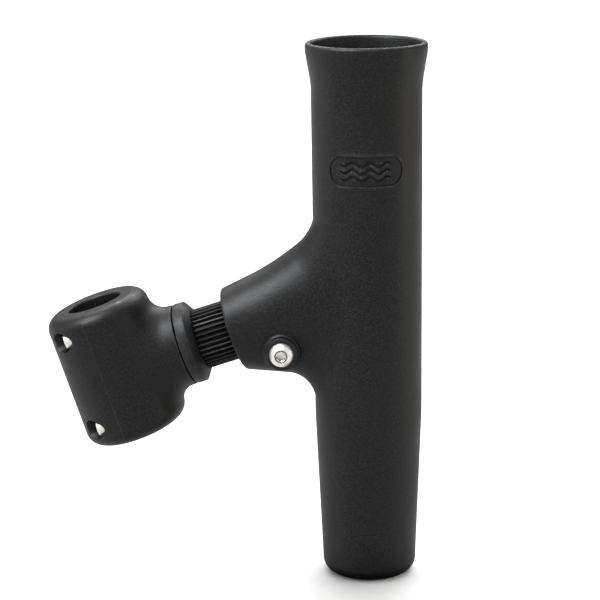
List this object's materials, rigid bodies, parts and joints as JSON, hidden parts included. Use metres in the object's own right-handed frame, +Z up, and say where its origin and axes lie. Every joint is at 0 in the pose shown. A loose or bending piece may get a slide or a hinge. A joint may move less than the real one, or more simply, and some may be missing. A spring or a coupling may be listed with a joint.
{
  "type": "clamp-on rod holder",
  "caption": "Upright flared tube on a sloping arm that indexes on a splined stem, carried by a two-piece clamp that closes round a rail.",
  "frame": {"origin": "where the stem's axis crosses the rail bore's axis", "axes": "+Z up along the rod tube, +X from the rail to the tube, +Y across, away from the cross bolt's head"},
  "size_m": [0.1775, 0.056, 0.2516],
  "materials": {
    "moulding": "black glass-filled nylon, fine spark texture, satin on the rounded edges",
    "washer_nylon": "smooth black nylon",
    "lock_ring": "natural nylon",
    "stainless": "machined stainless steel, bright",
    "insert_brass": "machined brass"
  },
  "bodies": {
    "clamp": {"clamp_body": "moulding", "stem": "moulding", "stem_bolt": "stainless", "stem_bolt_washer": "stainless", "stem_nut": "stainless", "cap_insert_1": "insert_brass", "cap_insert_2": "insert_brass", "cap_insert_3": "insert_brass", "cap_insert_4": "insert_brass"},
    "cap": {"clamp_cap": "moulding", "cap_screw_1": "stainless", "cap_screw_2": "stainless", "cap_screw_3": "stainless", "cap_screw_4": "stainless", "cap_washer_1": "stainless", "cap_washer_2": "stainless", "cap_washer_3": "stainless", "cap_washer_4": "stainless"},
    "tube": {"rod_tube": "moulding", "cross_bolt_nut": "stainless", "cross_nut_ring": "lock_ring"},
    "bolt": {"cross_bolt": "stainless", "cross_bolt_washer": "washer_nylon"}
  },
  "joints": [
    {"name": "tube_index", "type": "hinge", "parent": "clamp", "child": "tube", "pos_m": [0, 0, 0], "axis": [0.9511, 0, 0.309], "continuous": true},
    {"name": "cap_lift", "type": "slide", "parent": "clamp", "child": "cap", "axis": [-0.9511, 0, -0.309], "range_m": [0, 0.03]},
    {"name": "cross_bolt_draw", "type": "slide", "parent": "tube", "child": "bolt", "axis": [0, -1, 0], "range_m": [0, 0.05]}
  ]
}
